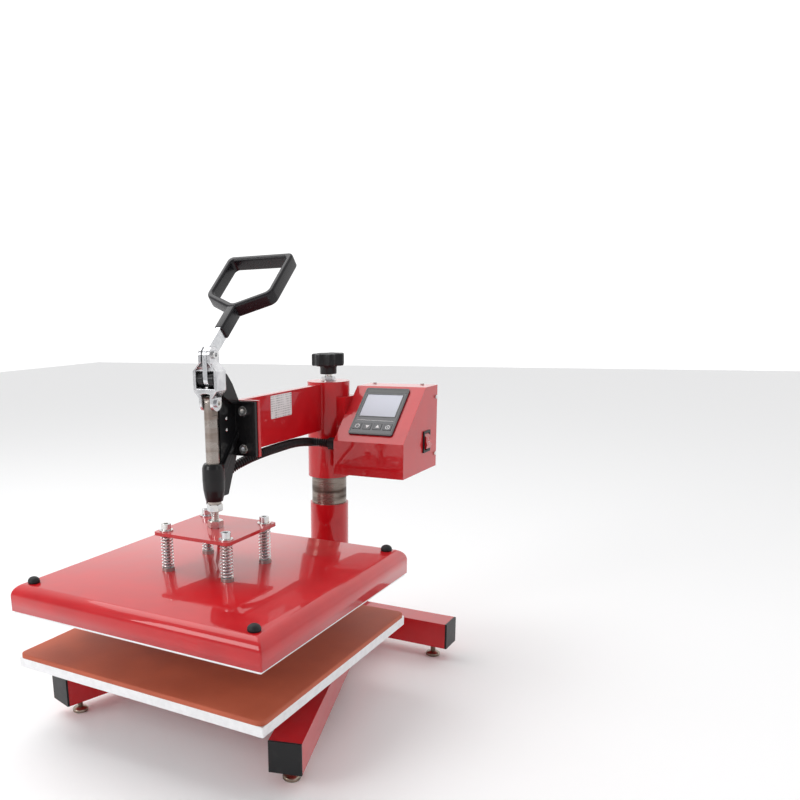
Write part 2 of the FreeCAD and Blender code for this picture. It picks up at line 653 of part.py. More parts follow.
def make_box(gland, cord_gland):
    inside_x = (BOX_X[0] + SHEET, BOX_X[1] - SHEET)
    outer = prism_yz(box_outline(0), *BOX_X)
    inner = prism_yz(box_outline(SHEET), *inside_x)
    open_back = block(inside_x, (BOX_Y[1] - 2 * SHEET, BOX_Y[1] + 1), (BOX_Z[0] + SHEET, BOX_Z[1] - SHEET))
    panel_back = slope_block((PANEL_X[0] + 2, PANEL_X[1] - 2), (PANEL_S[0] + 2, PANEL_S[1] - 2), (-9, 9))
    frame_y = (ROCKER_AT[0] - ROCKER_FRAME[0] / 2, ROCKER_AT[0] + ROCKER_FRAME[0] / 2)
    frame_z = (ROCKER_AT[1] - ROCKER_FRAME[1] / 2, ROCKER_AT[1] + ROCKER_FRAME[1] / 2)
    cutout_y = (frame_y[0] + 2, frame_y[1] - 2)
    cutout_z = (frame_z[0] + 2, frame_z[1] - 2)
    rocker_hole = block((BOX_X[1] - 5, BOX_X[1] + 5), cutout_y, cutout_z)
    screws = []
    for x in (BOX_X[0] + 12, BOX_X[1] - 22):
        head = rod(3, BOX_Z[1], BOX_Z[1] + 2, x, BOX_Y[1] - 8)
        screws.append(head.fuse(rod(1.5, BOX_Z[1] - 5, BOX_Z[1], x, BOX_Y[1] - 8)).removeSplitter())
    for z in (BOX_Z[0] + 21, BOX_Z[1] - 18):
        head = rod_x(3, BOX_X[1], BOX_X[1] + 2, BOX_Y[1] - 8, z)
        screws.append(head.fuse(rod_x(1.5, BOX_X[1] - 5, BOX_X[1], BOX_Y[1] - 8, z)).removeSplitter())
    shell = outer.cut([inner, open_back, panel_back, rocker_hole, gland, cord_gland] + screws)
    save("control_box", shell)
    gap = 0.2
    back_x = (inside_x[0] + gap, inside_x[1] - gap)
    back_z = (BOX_Z[0] + SHEET + gap, BOX_Z[1] - SHEET - gap)
    pan = block(back_x, (BOX_Y[1] - 14, BOX_Y[1]), back_z)
    hollow = block((back_x[0] + SHEET, back_x[1] - SHEET), (BOX_Y[1] - 15, BOX_Y[1] - SHEET),
                   (back_z[0] + SHEET, back_z[1] - SHEET))
    save("control_box_back", pan.cut([hollow] + screws))
    save("box_screws", screws)
    make_controller()
    make_rocker(frame_y, frame_z, cutout_y, cutout_z)
    saddle = block((SLEEVE_R - 8, BOX_X[0]), (COLUMN_Y - 22, COLUMN_Y + 22), (BOX_Z[0] + 14, BOX_Z[1] - 14))
    save("box_bracket", saddle.cut(rod(SLEEVE_R, 0, 600, 0, COLUMN_Y)))


def button_at(k):
    return (PANEL_X[0] + PANEL_X[1]) / 2 + (k - 1.5) * BUTTON_PITCH


def make_controller():
    bezel = slope_block(PANEL_X, PANEL_S, (0, PANEL_PROUD))
    edges = [e for e in bezel.Edges if abs(e.tangentAt(e.FirstParameter).dot(OUT_OF_SLOPE)) > 0.9]
    bezel = bezel.makeFillet(3, edges)
    back_x = (PANEL_X[0] + PANEL_LIP, PANEL_X[1] - PANEL_LIP)
    back = slope_block(back_x, (PANEL_S[0] + PANEL_LIP, PANEL_S[1] - PANEL_LIP), (-PANEL_DEPTH, 0))
    window = slope_block(WINDOW_X, WINDOW_S, (PANEL_PROUD - 1.2, PANEL_PROUD - 0.2))
    body = bezel.fuse(back).removeSplitter().cut(
        slope_block(WINDOW_X, WINDOW_S, (PANEL_PROUD - 1.2, PANEL_PROUD + 1)))
    half_x, half_s = BUTTON_SIZE[0] / 2, BUTTON_SIZE[1] / 2
    for k in range(4):
        x = button_at(k)
        seat = 0.5
        well = slope_block((x - half_x - seat, x + half_x + seat),
                           (BUTTON_S - half_s - seat, BUTTON_S + half_s + seat), (-2, PANEL_PROUD + 1))
        body = body.cut(well)
        key = slope_block((x - half_x, x + half_x), (BUTTON_S - half_s, BUTTON_S + half_s),
                          (BUTTON_TRAVEL - 1.6, PANEL_PROUD + BUTTON_PROUD - 0.5))
        uprights = [e for e in key.Edges if abs(e.tangentAt(e.FirstParameter).dot(OUT_OF_SLOPE)) > 0.9]
        save("button_%d" % (k + 1), key.makeFillet(1.5, uprights))
    save("controller_bezel", body)
    save("controller_window", window)


def make_rocker(frame_y, frame_z, cutout_y, cutout_z):
    face = BOX_X[1]
    mid_y, mid_z = ROCKER_AT
    flange = block((face, face + 2), frame_y, frame_z)
    sleeve = block((face - 20, face), cutout_y, cutout_z)
    well_y = (cutout_y[0] + 1.5, cutout_y[1] - 1.5)
    well_z = (cutout_z[0] + 1.5, cutout_z[1] - 1.5)
    well = block((face - 14, face + 3), well_y, well_z)
    half = (well_z[1] - well_z[0]) / 2 - 1.2
    key_y = (well_y[0] + 0.5, well_y[1] - 0.5)
    outline = [(face - 7, -half + 1.5), (face + 2.2, -half), (face + 5.0, -half * 0.5), (face + 4.2, 0),
               (face + 5.0, half * 0.5), (face + 2.2, half), (face - 7, half - 1.5)]
    key = prism([V(x, key_y[0], mid_z + z) for x, z in outline], V(0, key_y[1] - key_y[0], 0))
    pivot = rod_y(1.5, well_y[0] - 1, well_y[1] + 1, face - 3.5, mid_z)
    key = key.cut(rod_y(1.5 + FIT, key_y[0] - 1, key_y[1] + 1, face - 3.5, mid_z))
    key.rotate(V(face - 3.5, mid_y, mid_z), Y_AXIS, -ROCKER_TILT)
    frame = flange.fuse(sleeve).removeSplitter().cut(well).fuse(pivot).removeSplitter()
    save("rocker_frame", frame)
    save("rocker_key", key)


# ---- Conduit and lead -----------------------------------------------------------------
def route_wire(route, name):
    """Straight runs joined by tangent arcs as large as the runs allow."""
    points = [V(*p) for p in route]
    edges = []
    radii = []
    start = points[0]
    length = 0.0
    for before, corner, after in zip(points, points[1:], points[2:]):
        into = (corner - before)
        out = (after - corner)
        half_turn = into.getAngle(out) / 2
        setback = 0.45 * min(into.Length, out.Length)
        radius = setback / math.tan(half_turn)
        first = corner - V(into).normalize() * setback
        last = corner + V(out).normalize() * setback
        inward = (V(out).normalize() - V(into).normalize()).normalize()
        middle = corner + inward * (radius / math.cos(half_turn) - radius)
        edges.append(Part.LineSegment(start, first).toShape())
        edges.append(Part.Arc(first, middle, last).toShape())
        length += (first - start).Length + 2 * half_turn * radius
        radii.append(radius)
        start = last
    edges.append(Part.LineSegment(start, points[-1]).toShape())
    length += (points[-1] - start).Length
    print(name, "length %.1f, radii" % length, [round(r, 1) for r in radii])
    return Part.Wire(edges), length


def tube_along(route, radius, name):
    wire, length = route_wire(route, name)
    first = V(*route[0])
    direction = V(*route[1]) - first
    circle = Part.Wire(Part.makeCircle(radius, first, direction))
    solid = wire.makePipeShell([circle], True, False)
    print(name, "volume ratio %.4f" % (solid.Volume / (math.pi * radius ** 2 * length)))
    return solid


def make_conduit():
    outer = tube_along(HOSE_ROUTE, HOSE_R, "hose")
    bore = tube_along(HOSE_ROUTE, HOSE_BORE_R, "hose bore")
    lead = tube_along(LEAD_ROUTE, LEAD_R, "head lead")
    start = V(*HOSE_ROUTE[0])
    direction = (V(*HOSE_ROUTE[1]) - start).normalize()
    wall_x = BOX_X[0]
    nut = rod_x(GLAND_R, wall_x - GLAND_LENGTH, wall_x, start.y, start.z)
    thread = rod_x(GLAND_R - 2, wall_x, wall_x + 8, start.y, start.z)
    gland = nut.fuse(thread).removeSplitter()
    hose = outer.cut(bore)
    save("hose", hose)
    save("head_lead", lead)
    save("hose_gland", gland.cut(outer))
    cord_gland = rod(6.5, BOX_Z[0] - 7, BOX_Z[0] + 6, BOX_X[1] - 28, BOX_Y[0] + 78)
    save("cord_inlet", cord_gland.cut(rod(3.5, BOX_Z[0] - 8, BOX_Z[0] + 7, BOX_X[1] - 28, BOX_Y[0] + 78)))
    return gland, cord_gland


os.makedirs("parts", exist_ok=True)
make_base()
make_feet()
make_board()
make_column()
make_height_screw()
make_casting(make_arm())
make_pivot_pin()
make_handle()
make_link()
make_plunger()
make_head()
make_box(*make_conduit())
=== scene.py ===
"""Swing-away heat press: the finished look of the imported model.

Blender's lengths are metres.  Sizes below are millimetres, and at() places them about the
plunger axis, which passes through the middle of the two platens.
"""
import bmesh
import bpy
import math
from mathutils import Matrix, Quaternion, Vector


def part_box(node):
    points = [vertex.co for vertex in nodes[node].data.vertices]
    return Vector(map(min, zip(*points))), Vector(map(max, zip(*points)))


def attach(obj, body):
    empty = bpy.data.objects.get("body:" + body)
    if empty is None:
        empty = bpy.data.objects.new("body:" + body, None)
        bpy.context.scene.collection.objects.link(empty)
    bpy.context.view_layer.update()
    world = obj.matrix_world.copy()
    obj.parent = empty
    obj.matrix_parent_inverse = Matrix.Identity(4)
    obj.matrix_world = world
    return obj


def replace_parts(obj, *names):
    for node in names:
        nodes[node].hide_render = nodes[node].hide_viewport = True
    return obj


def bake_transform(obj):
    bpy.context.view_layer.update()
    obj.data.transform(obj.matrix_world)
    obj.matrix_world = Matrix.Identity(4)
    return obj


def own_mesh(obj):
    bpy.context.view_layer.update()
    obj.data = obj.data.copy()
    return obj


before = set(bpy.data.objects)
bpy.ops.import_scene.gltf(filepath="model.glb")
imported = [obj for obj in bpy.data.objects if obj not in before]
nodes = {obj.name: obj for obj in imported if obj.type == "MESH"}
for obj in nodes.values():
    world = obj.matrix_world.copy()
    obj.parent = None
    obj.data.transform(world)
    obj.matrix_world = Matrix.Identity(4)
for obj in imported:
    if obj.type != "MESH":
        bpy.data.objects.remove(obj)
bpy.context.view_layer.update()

MM = 0.001
pad_low, pad_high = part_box("silicone_pad")
middle_y = (pad_low[1] + pad_high[1]) / 2


def at(x, y, z):
    return Vector((x * MM, y * MM + middle_y, z * MM))


# ---- Camera, floor and light -------------------------------------------------------------
# The press stands on a plain pale floor between large soft lamps, as in a catalogue room,
# seen from the operator's right at about the height of its handle.
camera = bpy.data.objects.new("camera", bpy.data.cameras.new("camera"))
bpy.context.collection.objects.link(camera)
camera.data.lens = 37.5
camera.data.shift_x = 0.186
camera.data.shift_y = 0.149
turn = Matrix.Rotation(math.radians(33.7), 4, "Z")
tilt = Matrix.Rotation(math.radians(90 - 14.3), 4, "X")
roll = Matrix.Rotation(math.radians(-1.8), 4, "Z")
camera.matrix_world = Matrix.Translation((0.6353, -0.9656, 0.5478)) @ turn @ tilt @ roll
bpy.context.scene.camera = camera

ground = bmesh.new()
bmesh.ops.create_grid(ground, x_segments=1, y_segments=1, size=6.0)
floor = bpy.data.objects.new("floor", bpy.data.meshes.new("floor"))
ground.to_mesh(floor.data)
ground.free()
bpy.context.collection.objects.link(floor)
floor_paint = bpy.data.materials.new("floor_paint")
floor_paint.use_nodes = True
floor_surface = floor_paint.node_tree.nodes["Principled BSDF"]
floor_surface.inputs["Base Color"].default_value = (0.93, 0.93, 0.93, 1)
floor_surface.inputs["Roughness"].default_value = 0.7
floor.data.materials.append(floor_paint)


class Socket:
    """A shader socket.  Arithmetic on it adds the Math nodes."""

    def __init__(self, tree, end=None):
        self.tree = tree
        self.end = end

    def add(self, kind, settings, values, output=0):
        """A new node: its settings are made first, then its sockets get values or links."""
        node = self.tree.nodes.new("ShaderNode" + kind)
        for name, value in settings.items():
            setattr(node, name, value)
        for name, value in values.items():
            if isinstance(value, Socket):
                self.tree.links.new(value.end, node.inputs[name])
            else:
                node.inputs[name].default_value = value
        return Socket(self.tree, node.outputs[output])

    def maths(self, operation, first, second=0.0):
        return self.add("Math", {"operation": operation}, {0: first, 1: second})

    def __add__(self, other):
        return self.maths("ADD", self, other)

    def __mul__(self, other):
        return self.maths("MULTIPLY", self, other)

    def __gt__(self, other):
        return self.maths("GREATER_THAN", self, other)

    __radd__ = __add__
    __rmul__ = __mul__

    def noise(self, scale, detail=3.0):
        """Noise from 0 to 1, with scale features a metre."""
        return self.add("TexNoise", {}, {"Vector": self, "Scale": scale, "Detail": detail}, "Fac")

    def stretched(self, x, y, z):
        return self.add("Mapping", {}, {"Vector": self, "Scale": (x, y, z)})

    def axis(self, name):
        return self.add("SeparateXYZ", {}, {"Vector": self}, name)

    def between(self, low, high):
        """Smooth step from 0 at low to 1 at high."""
        limits = {"Value": self, "From Min": low, "From Max": high}
        return self.add("MapRange", {"interpolation_type": "SMOOTHSTEP"}, limits)

    def colours(self, first, second):
        """Mix of two colours, by this socket."""
        return self.add("Mix", {"data_type": "RGBA"}, {0: self, 6: first, 7: second}, 2)

    def rough_edge(self, height, strength, distance, edge=0.0006):
        """Normal with edges rounded by edge metres, and bumps of this distance."""
        values = {"Height": height, "Strength": strength, "Distance": distance}
        if edge:
            values["Normal"] = self.add("Bevel", {"samples": 4}, {"Radius": edge}, "Normal")
        return self.add("Bump", {}, values)

    def into(self, surface, name):
        self.tree.links.new(self.end, surface.inputs[name])


world = bpy.data.worlds.new("room")
bpy.context.scene.world = world
world.use_nodes = True
bpy.context.scene.view_settings.view_transform = "Standard"
backdrop = world.node_tree.nodes["Background"]
# The wall behind the press and the ceiling over it are white, and the operator's side is dimmer.
sky = Socket(world.node_tree).add("TexCoord", {}, {}, "Generated")
lit_side = sky.axis("Y") * 0.8 + sky.axis("X") * -0.35 + sky.axis("Z") * 0.3
lit_side.between(-0.1, 0.45).colours((0.38, 0.38, 0.39, 1), (1, 1, 1, 1)).into(backdrop, "Color")
backdrop.inputs["Strength"].default_value = 1.15


def soft_lamp(name, place, size, power):
    """Square lamp that looks at the middle of the press."""
    lamp = bpy.data.objects.new(name, bpy.data.lights.new(name, "AREA"))
    lamp.data.size = size
    lamp.data.energy = power
    lamp.location = place
    lamp.rotation_euler = (Vector((0, 0, 0.25)) - Vector(place)).to_track_quat("-Z", "Y").to_euler()
    bpy.context.collection.objects.link(lamp)


soft_lamp("lamp_over", (-0.9, -0.1, 2.1), 1.5, 15)
soft_lamp("lamp_front", (-0.9, -2.0, 1.2), 1.0, 17)
soft_lamp("lamp_right", (2.0, -0.5, 1.0), 0.7, 2)


# ---- Red enamel: base frame, column, arm, box and sheet-metal parts ----------------------
# Mild steel tube and plate, welded together, then sprayed and stove-enamelled in one
# gloss red.  The enamel has the faint ripple of a sprayed coat and rounds every edge.
def new_finish(name, metallic=0.0, coat=0.0):
    """Material, its surface shader, and the place on the object as a socket."""
    material = bpy.data.materials.new(name)
    material.use_nodes = True
    surface = material.node_tree.nodes["Principled BSDF"]
    surface.inputs["Metallic"].default_value = metallic
    surface.inputs["Coat Weight"].default_value = coat
    surface.inputs["Coat Roughness"].default_value = 0.03
    surface.inputs["Specular IOR Level"].default_value = 0.5 - 0.4 * coat
    place = Socket(material.node_tree).add("TexCoord", {}, {}, "Object")
    return material, surface, place


def enamel_finish(name, deep, bright):
    material, surface, place = new_finish(name, coat=0.8)
    pooling = place.noise(30, 3)
    pooling.between(0.2, 0.8).colours(deep, bright).into(surface, "Base Color")
    (0.3 + pooling * 0.1).into(surface, "Roughness")
    place.rough_edge(place.noise(260, 1), 0.03, 0.0005, 0.0009).into(surface, "Normal")
    return material


enamel = enamel_finish("red_enamel", (0.50, 0.003, 0.008, 1), (0.57, 0.005, 0.010, 1))


def give(material, *names):
    for name in names:
        nodes[name].material_slots[0].material = material


give(enamel, "base_rear_bar", "base_leg_left", "base_leg_right", "board_carrier", "column_base_plate",
     "column_lower_tube", "arm_sleeve", "arm_plate", "arm_end_plate", "box_bracket", "control_box",
     "control_box_back", "spring_plate")


# ---- Weld beads --------------------------------------------------------------------------
# Every joint of the frame is a run of weld with the ripples of a hand-held torch, buried
# under the enamel.
def swept(mesh, points, radii, sides):
    """Round bar along points: one ring of edges is extruded from each point to the next."""
    ring = bmesh.ops.create_circle(mesh, segments=sides, radius=1.0)["verts"]
    edges = list({edge for vert in ring for edge in vert.link_edges})
    first = list(edges)
    facing = Vector((0, 0, 1))
    rolled = Quaternion()
    last = Matrix.Identity(4)
    for k, (point, radius) in enumerate(zip(points, radii)):
        ahead = points[min(k + 1, len(points) - 1)] - points[max(k - 1, 0)]
        rolled = facing.rotation_difference(ahead) @ rolled
        facing = ahead
        if k:
            made = bmesh.ops.extrude_edge_only(mesh, edges=edges)["geom"]
            ring = [item for item in made if isinstance(item, bmesh.types.BMVert)]
            edges = [item for item in made if isinstance(item, bmesh.types.BMEdge)
                     and all(vert in ring for vert in item.verts)]
        here = Matrix.Translation(point) @ rolled.to_matrix().to_4x4() @ Matrix.Scale(radius, 4)
        bmesh.ops.transform(mesh, matrix=here @ last.inverted(), verts=ring)
        last = here
    for rim in (first, edges):
        bmesh.ops.contextual_create(mesh, geom=rim)


def add_piece(mesh, name, body, material, crease=38):
    """Closed mesh made into a piece that rides on a body, or on none when no body is given."""
    bmesh.ops.remove_doubles(mesh, verts=mesh.verts, dist=1e-6)
    bmesh.ops.recalc_face_normals(mesh, faces=mesh.faces)
    data = bpy.data.meshes.new(name)
    mesh.to_mesh(data)
    mesh.free()
    data.shade_smooth()
    data.set_sharp_from_angle(angle=math.radians(crease))
    data.materials.append(material)
    piece = bpy.data.objects.new(name, data)
    bpy.context.collection.objects.link(piece)
    if body:
        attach(piece, body)
    return piece


def even_points(points, step):
    """Points a step apart along a polyline."""
    spaced = [points[0]]
    left = step
    for start, end in zip(points, points[1:]):
        run = (end - start).length
        while left <= run:
            spaced.append(start.lerp(end, left / run))
            left += step
        left -= run
    return spaced


def weld(name, points, radius, body):
    """Rippled bead along a line of points in millimetres."""
    line = even_points([at(*point) for point in points], 0.9 * MM)
    ripple = [radius * MM * (1 + 0.1 * math.sin(1.9 * k) + 0.05 * math.sin(0.7 * k))
              for k in range(len(line))]
    bead = bmesh.new()
    swept(bead, line, ripple, 10)
    add_piece(bead, name, body, enamel, 70)


COLUMN_Y = 320
FRAME_TOP = 62
FRAME_BOTTOM = 22
BAR_FRONT = 300
LEG_OUTER_AT_BAR = 76.2
for side, name in ((-1, "left"), (1, "right")):
    seam_x = side * LEG_OUTER_AT_BAR
    weld("weld_leg_" + name, [(seam_x, BAR_FRONT, FRAME_BOTTOM + 1), (seam_x, BAR_FRONT, FRAME_TOP),
                              (side * 60, BAR_FRONT, FRAME_TOP)], 2.0, "base")
    seam = [(side * 60, BAR_FRONT, FRAME_TOP), (side * 60, 339, FRAME_TOP)]
    weld("weld_plate_" + name, seam, 2.2, "base")
    weld("weld_arm_" + name, [(side * 5, 287.5, 356), (side * 5, 287.5, 426)], 2.0, "arm_head")
    weld("weld_end_plate_" + name, [(side * 5, 60, 356), (side * 5, 60, 426)], 1.8, "arm_head")
around = [math.radians(6 * k) for k in range(61)]
WELD_R = 31.6
seam = [(WELD_R * math.cos(a), COLUMN_Y + WELD_R * math.sin(a), 68.4) for a in around]
weld("weld_column", seam, 2.3, "base")


# ---- Black plastic end caps --------------------------------------------------------------
# Square inserts pushed into the open tube ends, moulded in black polyethylene with the
# fine grain of a spark-eroded mould.
def plastic_finish(name, colour, worn, roughness, grain, edge=0.0):
    material, surface, place = new_finish(name)
    surface.inputs["Specular IOR Level"].default_value = 0.32
    scuffs = place.noise(90, 6)
    scuffs.between(0.55, 0.8).colours(colour, worn).into(surface, "Base Color")
    (roughness + scuffs * 0.16).into(surface, "Roughness")
    place.rough_edge(place.noise(grain, 2), 0.3, 0.00012, edge).into(surface, "Normal")
    return material


black_plastic = plastic_finish("black_plastic", (0.010, 0.010, 0.011, 1), (0.020, 0.019, 0.020, 1),
                               0.32, 1500, 0.0008)
give(black_plastic, "tube_end_caps", "hose_gland", "cord_inlet", "rocker_frame")


# ---- Bright plated steel: fasteners and washers ------------------------------------------
# Cold-headed bolts, nuts and washers with a bright zinc plating, faintly blue and yellow
# in patches, with fine handling scratches.
def plated_finish(name, grey, warm, roughness):
    material, surface, place = new_finish(name, metallic=1.0)
    tone = place.noise(70, 4)
    tone.between(0.35, 0.68).colours(grey, warm).into(surface, "Base Color")
    scratch = place.stretched(1, 1, 6).noise(1800, 2)
    (roughness + scratch * 0.16).into(surface, "Roughness")
    place.rough_edge(scratch, 0.08, 0.0001, 0.0004).into(surface, "Normal")
    return material


zinc = plated_finish("zinc_steel", (0.63, 0.64, 0.66, 1), (0.72, 0.70, 0.66, 1), 0.14)
give(zinc, "foot_nuts", "board_standoffs", "height_washer", "height_screw", "casting_bolts", "head_bolts",
     "head_bolt_washers", "box_screws", "lever_pivot_pin", "link_upper_pin", "link_lower_pins")


# ---- Levelling feet ----------------------------------------------------------------------
# A turned steel disc on an M8 stud, screwed up into the nut inside the tube and plated
# dark, with a light rim where the plating has rubbed on the bench.
def turned(mesh, profile, x, y, steps=40):
    """Solid of revolution about an upright axis: a line of (radius, z) points is spun."""
    verts = [mesh.verts.new(at(x + radius, y, z)) for radius, z in profile]
    edges = [mesh.edges.new(pair) for pair in zip(verts, verts[1:])]
    bmesh.ops.spin(mesh, geom=verts + edges, cent=at(x, y, 0), axis=(0, 0, 1), dvec=(0, 0, 0),
                   angle=2 * math.pi, steps=steps, use_merge=True, use_duplicate=False)


def thread_profile(radius, pitch, low, high):
    """Up one side of a thread, from the axis back to the axis."""
    profile = [(0, low), (radius - 0.6 * pitch, low)]
    for k in range(int((high - low) / pitch)):
        z = low + k * pitch
        profile += [(radius - 0.6 * pitch, z + 0.1 * pitch), (radius, z + 0.45 * pitch),
                    (radius, z + 0.6 * pitch)]
    return profile + [(radius - 0.6 * pitch, high), (0, high)]


foot_steel = plated_finish("foot_steel", (0.20, 0.17, 0.13, 1), (0.42, 0.37, 0.30, 1), 0.24)
for name in ("foot_front_left", "foot_front_right", "foot_rear_left", "foot_rear_right"):
    low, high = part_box(name)
    foot_x = (low[0] + high[0]) / 2 / MM
    foot_y = ((low[1] + high[1]) / 2 - middle_y) / MM
    foot = bmesh.new()
    turned(foot, [(0, 0), (9.6, 0), (10.5, 0.3), (11, 1.1), (11, 3.5), (10.6, 4.3), (9.2, 5.4), (5.4, 6.6),
                  (4.9, 7), (0, 7)], foot_x, foot_y)
    turned(foot, thread_profile(4, 1.25, 6.8, 46.8), foot_x, foot_y, 28)
    disc = add_piece(foot, "levelling_" + name, name, foot_steel)
    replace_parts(disc, name)


# ---- Lower board and silicone pad --------------------------------------------------------
# The board is sawn aluminium tooling plate with milled edges.  The pad on it is a moulded
# silicone sponge, terracotta red, whose skin keeps the weave of the cloth it was cured on.
def milled_finish(name, light, dark):
    material, surface, place = new_finish(name, metallic=0.85)
    mottle = place.noise(120, 5)
    lines = place.stretched(0.3, 0.3, 14).noise(160, 3)
    (mottle * 0.6 + lines * 0.4).between(0.35, 0.65).colours(dark, light).into(surface, "Base Color")
    (0.34 + mottle * 0.2).into(surface, "Roughness")
    place.rough_edge(lines, 0.15, 0.0002, 0.0006).into(surface, "Normal")
    return material


give(milled_finish("milled_aluminium", (0.86, 0.86, 0.87, 1), (0.78, 0.78, 0.79, 1)), "lower_platen",
     "heat_platen")

silicone, surface, place = new_finish("silicone")
stain = place.noise(14, 5)
stained = stain.between(0.3, 0.7).colours((0.44, 0.086, 0.036, 1), (0.52, 0.110, 0.050, 1))
stained.into(surface, "Base Color")
(0.52 + stain * 0.2).into(surface, "Roughness")
weave_x = place.axis("X").maths("SINE", place.axis("X") * 4200)
weave_y = place.axis("Y").maths("SINE", place.axis("Y") * 4200)
cloth = weave_x * weave_y * 0.5 + place.noise(240, 3)
place.rough_edge(cloth, 0.35, 0.0002, 0.0008).into(surface, "Normal")


def round_edges(mesh, edges, radius, segments, affect="EDGES"):
    """Edges, or the corners of a flat outline, are rounded by a radius in millimetres."""
    bmesh.ops.bevel(mesh, geom=edges, offset=radius * MM, segments=segments, profile=0.5, affect=affect,
                    material=-1)


pad = bmesh.new()
bmesh.ops.create_cube(pad, size=1.0)
pad_size = [high - low for low, high in zip(pad_low, pad_high)]
bmesh.ops.scale(pad, vec=pad_size, verts=pad.verts)
bmesh.ops.translate(pad, vec=(Vector(pad_low) + Vector(pad_high)) / 2, verts=pad.verts)
upright = [edge for edge in pad.edges if abs(edge.verts[0].co.z - edge.verts[1].co.z) > MM]
round_edges(pad, upright, 10, 8)
near_top = pad_high[2] - 0.1 * MM
top_rim = [edge for edge in pad.edges if min(vert.co.z for vert in edge.verts) > near_top]
round_edges(pad, top_rim, 1.6, 4)
press_pad = add_piece(pad, "press_pad", "base", silicone, 50)
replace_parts(press_pad, "silicone_pad")


# ---- Column shaft and height screw -------------------------------------------------------
# Bare drawn tube that the sleeve turns on, greased by hand: the grease has gone brown and
# is wiped round the shaft in bands.  The screw at its top is turned by a lobed knob.
def bare_steel_finish(name, clean, greasy, bands):
    material, surface, place = new_finish(name, metallic=0.9)
    smear = place.stretched(0.5, 0.5, bands).noise(22, 5)
    film = smear.between(0.42, 0.66)
    film.colours(clean, greasy).into(surface, "Base Color")
    turning = place.stretched(0.2, 0.2, 10).noise(320, 2)
    (0.2 + film * 0.2 + turning * 0.1).into(surface, "Roughness")
    place.rough_edge(turning, 0.12, 0.0002, 0.0005).into(surface, "Normal")
    return material


give(bare_steel_finish("greased_steel", (0.26, 0.22, 0.19, 1), (0.085, 0.062, 0.050, 1), 4), "column_shaft",
     "thrust_washer")


def points_of(parts):
    return [part for part in parts if isinstance(part, bmesh.types.BMVert)]


def thicken(mesh, step):
    """All the faces of the mesh are extruded by a vector."""
    grown = bmesh.ops.extrude_face_region(mesh, geom=list(mesh.faces))["geom"]
    bmesh.ops.translate(mesh, vec=step, verts=points_of(grown))


knob_low, knob_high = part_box("height_knob")
HUB_HEIGHT, LOBES, LOBE_MEAN, LOBE_DEPTH = 13, 7, 24.3, 2.1
hub_bottom = knob_low[2] / MM
hub_top = hub_bottom + HUB_HEIGHT
knob_top = knob_high[2] / MM
knob = bmesh.new()
rim = bmesh.ops.create_circle(knob, segments=16 * LOBES, radius=1.0, cap_ends=True)["verts"]
bmesh.ops.translate(knob, vec=at(0, COLUMN_Y, hub_top), verts=rim)
for vert in rim:
    out = vert.co - at(0, COLUMN_Y, hub_top)
    lobe = math.cos(LOBES * math.atan2(out.y, out.x))
    reach = LOBE_MEAN + LOBE_DEPTH * math.tanh(1.6 * lobe)
    vert.co = at(0, COLUMN_Y, hub_top) + out.normalized() * MM * reach
thicken(knob, (0, 0, (knob_top - hub_top) * MM))
rims = [edge for edge in knob.edges if abs(edge.verts[0].co.z - edge.verts[1].co.z) < 0.01 * MM]
round_edges(knob, rims, 2.4, 4)
top = max(knob.faces, key=lambda face: face.calc_center_median().z)
for shrink, rise in ((0.80, 0.0), (0.94, -0.8)):
    top = bmesh.ops.extrude_discrete_faces(knob, faces=[top])["faces"][0]
    about = Matrix.Translation(-at(0, COLUMN_Y, 0))
    bmesh.ops.scale(knob, vec=(shrink, shrink, 1), space=about, verts=top.verts)
    bmesh.ops.translate(knob, vec=(0, 0, rise * MM), verts=top.verts)
turned(knob, [(0, hub_bottom), (12.4, hub_bottom), (13, hub_bottom + 0.6), (13, hub_top - 3),
              (15, hub_top + 0.5), (0, hub_top + 0.5)], 0, COLUMN_Y)
height_knob = add_piece(knob, "lobed_knob", "height_screw", black_plastic)
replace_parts(height_knob, "height_knob")


# ---- Nuts and the plunger stud -----------------------------------------------------------
# Standard hexagon nuts, chamfered on their corners, on the M10 stud that joins the plunger
# to the spring plate, and one on the height screw.
def nut(name, node, body, across, x, y, low, high):
    """Hexagon nut with its corners turned off at 30 degrees."""
    mesh = bmesh.new()
    corner = across / math.sqrt(3) * MM
    face = bmesh.ops.create_circle(mesh, segments=6, radius=corner, cap_ends=True)["verts"]
    bmesh.ops.translate(mesh, vec=at(x, y, low), verts=face)
    thicken(mesh, (0, 0, (high - low) * MM))
    for k in range(12):
        angle = math.radians(30 * k)
        slant = Vector((math.cos(angle) * 0.5, math.sin(angle) * 0.5, 0.866))
        for end, up in ((high, 1), (low, -1)):
            normal = Vector((slant.x, slant.y, up * slant.z))
            outward = Vector((math.cos(angle), math.sin(angle), 0))
            point = at(x, y, end) + outward * (across * 0.5 * MM)
            every = list(mesh.verts) + list(mesh.edges) + list(mesh.faces)
            cut = bmesh.ops.bisect_plane(mesh, geom=every, plane_co=point, plane_no=normal,
                                         clear_outer=True)
            edges = [item for item in cut["geom_cut"] if isinstance(item, bmesh.types.BMEdge)]
            if edges:
                bmesh.ops.contextual_create(mesh, geom=edges)
    piece = add_piece(mesh, name, body, zinc, 20)
    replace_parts(piece, node)


